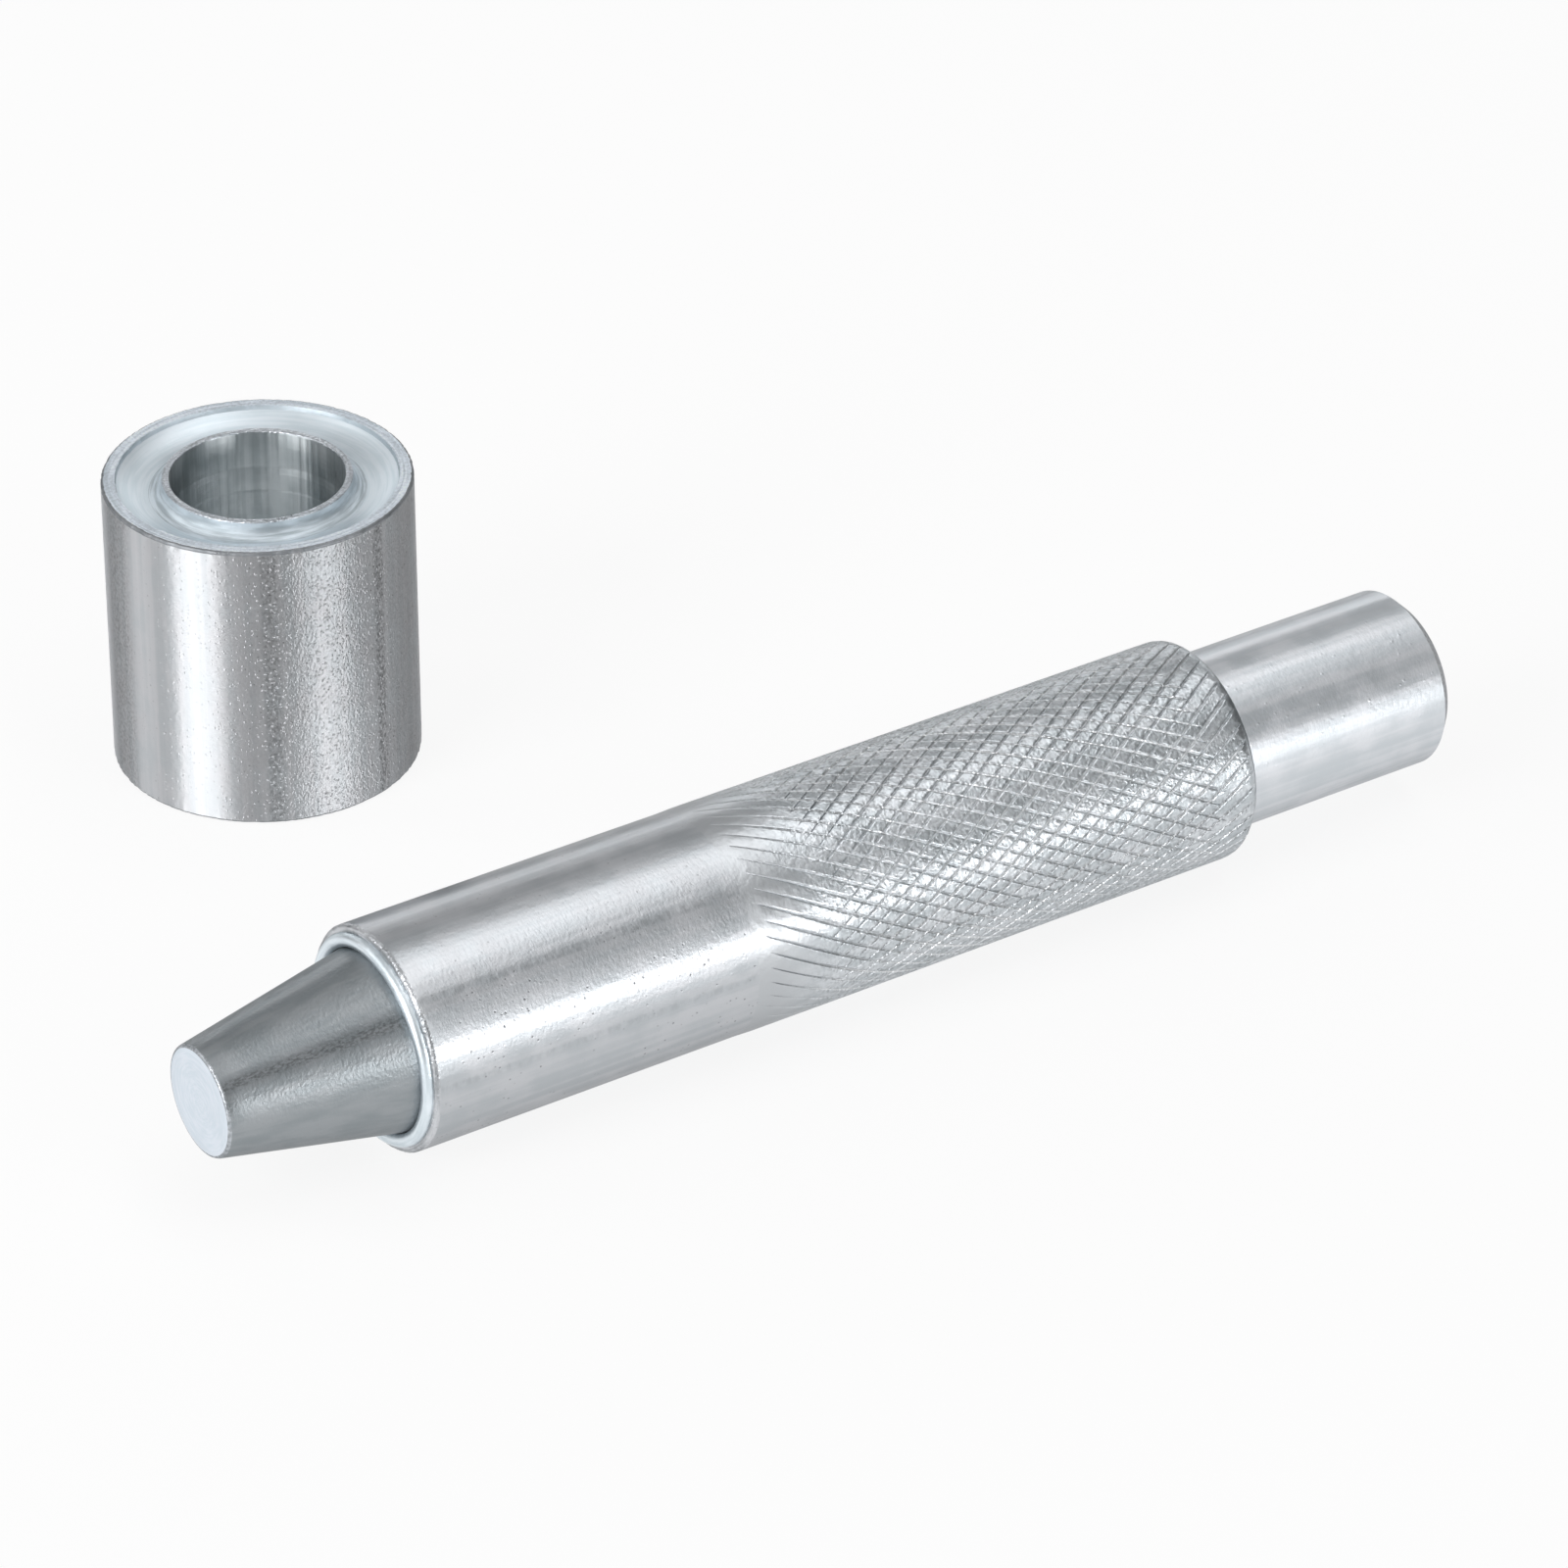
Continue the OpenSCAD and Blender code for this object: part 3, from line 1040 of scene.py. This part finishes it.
# %% The setter's finishes
FRONT_ROUGH = 0.36
SPARSE = ((2200, 2600), 0.1)
knurl_start = face_x + FORTH_SPAN[0]
setter_finishes = {
    "tip": Zinc("X", rimmed, 0.45, peel=8, grain=6, shading=0.03, faced=True),
    "tip_edge": Zinc("X", stepped, 0.42, shading=0.15)
        .grit(55).speckled(0.3).pimples(8, BEADS, 0.7),
    # painted shade: a dark flecked line on a broader darker band along the pilot at turn 42.4
    "pilot": Zinc("X", tapered, 0.44, smear=0.3, lines=3, peel=10, grain=20, shading=0.08)
        .grit(30).shaded_at(42.4, 0.2, 0.2).streaks([(42.4, 0.1, 0.45)], (3000, 6500)),
    # painted shade: the crevice at the pilot's root
    "root": Zinc("X", painted_root_shade, 0.5, peel=8, grain=20, shading=0.2),
    "curl": Zinc("X", frosted, 0.4, rings=12, peel=15, grain=14, shading=0.1, faced=True),
    "face": Zinc("X", turned, FRONT_ROUGH, peel=40, shading=0.3, faced=True)
        .grit(80).pimples(35, (2600, 2600), 0.8),
    # painted shade: three faint flecked dark lines at fixed turns, in place of dark lines in the
    # reflections
    "body": Zinc("X", turned, FRONT_ROUGH, rings=0.8, lines=10, peel=12, grain=12, shading=0.07)
        .thickest_at(-4).grit(9).pits(20).pimples(10, *SPARSE)
        .streaks([(46.5, 0.05, 0.22), (54, 0.03, 0.1), (2, 0.05, 0.12)], (2600, 1500)),
    # painted highlight: the bottoms of the grip's grooves are painted lighter
    "grip": Zinc("X", knurled, 0.34, lines=4, peel=25, grain=8, shading=0.12)
        .knurled(turned, FRONT_ROUGH, knurl_start, knurl_start + DEEPEN)
        .grit(75).speckled(0.35).painted_groove_light(0.4),
    "shoulder": Zinc("X", turned, 0.42, rings=2, faced=True),
    "neck": Zinc("X", necked, 0.38, rings=0.8, lines=10, peel=12, grain=7, shading=0.07)
        .grit(5).pimples(12, *SPARSE),
    "strike": Zinc("X", turned, 0.42, rings=2, grain=8, faced=True).grit(25).speckled(0.35),
}
print(len(setter_finishes), "finishes on the setter")

# %% Each zone gets its finish
for name, piece, order, finishes in (("anvil", anvil, ANVIL_ORDER, anvil_finishes),
                                     ("setter", setter, SETTER_ORDER, setter_finishes)):
    for zone in order:
        piece.data.materials.append(finishes[zone].named(f"{name}_{zone}_zinc"))
    print(name, len(piece.data.materials), "zones")

# %% [markdown]
# ## The bench
#
# The tool stands on plain white card. A white world would do for the background, but then the
# tool would float. So the bench is a real card, which holds a shadow, and the camera, mirrors
# and glass see it mixed with a plain white, so that it reads as paper and not as grey.

# %% The bench
BENCH_SIDE = 6.0
BENCH_WHITE = (0.94, 0.94, 0.94, 1)
BENCH_ROUGH = 0.9
BENCH_GLOW = 0.85


def bench_card():
    """Shade = card lit by the lamps, mixed with white of strength 1 by the glow's share."""
    card = Nodes(bpy.data.materials.new("bench_card"))
    card.shade({"Base Color": BENCH_WHITE, "Roughness": BENCH_ROUGH, "Specular IOR Level": 0.0})
    ray = card.node("ShaderNodeLightPath").outputs
    seen = card.math("MAXIMUM", ray["Is Camera Ray"], ray["Is Glossy Ray"])
    seen = card.math("MAXIMUM", seen, ray["Is Transmission Ray"])
    white = card.node("ShaderNodeEmission", Color=WHITE, Strength=1.0)
    mixed = card.node("ShaderNodeMixShader", Fac=card.math("MULTIPLY", seen, BENCH_GLOW))
    card.put(mixed.inputs[1], card.shader.outputs[0])
    card.put(mixed.inputs[2], white.outputs[0])
    card.put(card.tree.nodes["Material Output"].inputs["Surface"], mixed.outputs[0])
    return card.owner


def make_bench():
    """A flat square of the card at height 0."""
    half = BENCH_SIDE / 2
    corners = [(-half, -half, 0), (half, -half, 0), (half, half, 0), (-half, half, 0)]
    mesh = bpy.data.meshes.new("bench")
    mesh.from_pydata(corners, [], [(0, 1, 2, 3)])
    mesh.materials.append(bench_card())
    return placed("bench", mesh)


bench = make_bench()
print("bench", BENCH_SIDE, "m square")

# %% [markdown]
# ## The light
#
# Polished bars show their surroundings, so the light matters as much as the metal. A picture
# of a studio would light them too, but a soft box can be moved until its band is where it
# should be. The overhead box lays the setter's upper bright band. The front box, low on the
# bench, gives both pieces one band each, and the box above it fills the setter's middle and the
# anvil's top. The tall left box gives the anvil its other band. The rear box draws the thin
# line on the setter's upper edge, and the fill box lights what faces left: the pilot's tip and
# the curling groove.
#
# Each piece was photographed with a clear view of the front light. Here the setter lies before
# the anvil, so it doesn't block that one box.

# %% The soft boxes
LAMP_AIM = Vector((0.02, -0.035, 0.012))
LAMP_AWAY = 1.0
LAMPS = {  # turn, rise, size and glow
    "overhead_box": (67.5, 70.5, (0.90, 0.30), 2.15),
    "front_box": (13.8, 3.0, (0.556, 0.209), 8.82),
    "upper_front_box": (13.6, 29.2, (0.335, 0.32), 2.0),
    "left_box": (-79.6, 14.6, (0.553, 1.044), 4.53),
    "rear_box": (152.7, 16.3, (1.60, 0.114), 4.0),
    "fill_box": (-128.7, 30.0, (0.358, 0.80), 1.55),
}


def soft_box(name, turn, rise, size, glow):
    """An area lamp. Its power is its glow, where 1 is white, times its area times pi."""
    lamp = bpy.data.lights.new(name, "AREA")
    lamp.shape = "RECTANGLE"
    lamp.size, lamp.size_y = size
    lamp.energy = glow * math.pi * size[0] * size[1]
    return aimed(name, lamp, LAMP_AIM, LAMP_AWAY, turn, rise)


def pass_through(box, piece):
    """Lets the light of a soft box through a piece, which then throws no shadow in it."""
    blockers = bpy.data.collections.new(box.name + "_blockers")
    blockers.objects.link(piece)
    blockers.collection_objects[0].light_linking.link_state = "EXCLUDE"
    box.light_linking.blocker_collection = blockers


lamps = {name: soft_box(name, *lamp) for name, lamp in LAMPS.items()}
pass_through(lamps["front_box"], setter)
print(len(lamps), "soft boxes")

# %% [markdown]
# The dark gaps between the bands are the room behind the lamps. It could be a box of walls,
# but only its shade matters, so it is the world: dark at the height of the bench and smoothly
# lighter towards a grey ceiling.

# %% The room
ROOM_LOW = 0.03
ROOM_HIGH = 0.544


def make_room():
    """Shade of the world = an S curve from low to high over the direction's own height."""
    bpy.context.scene.world = bpy.data.worlds.new("room")
    room = Nodes(bpy.context.scene.world, "Background")
    way = room.node("ShaderNodeSeparateXYZ", Vector=room.coordinates["Generated"]).outputs
    room.shade({"Color": room.ramp(way["Z"], 0.0, 1.0, ROOM_LOW, ROOM_HIGH)})


make_room()
bpy.context.scene.view_settings.view_transform = "Standard"
print("room from", ROOM_LOW, "to", ROOM_HIGH)
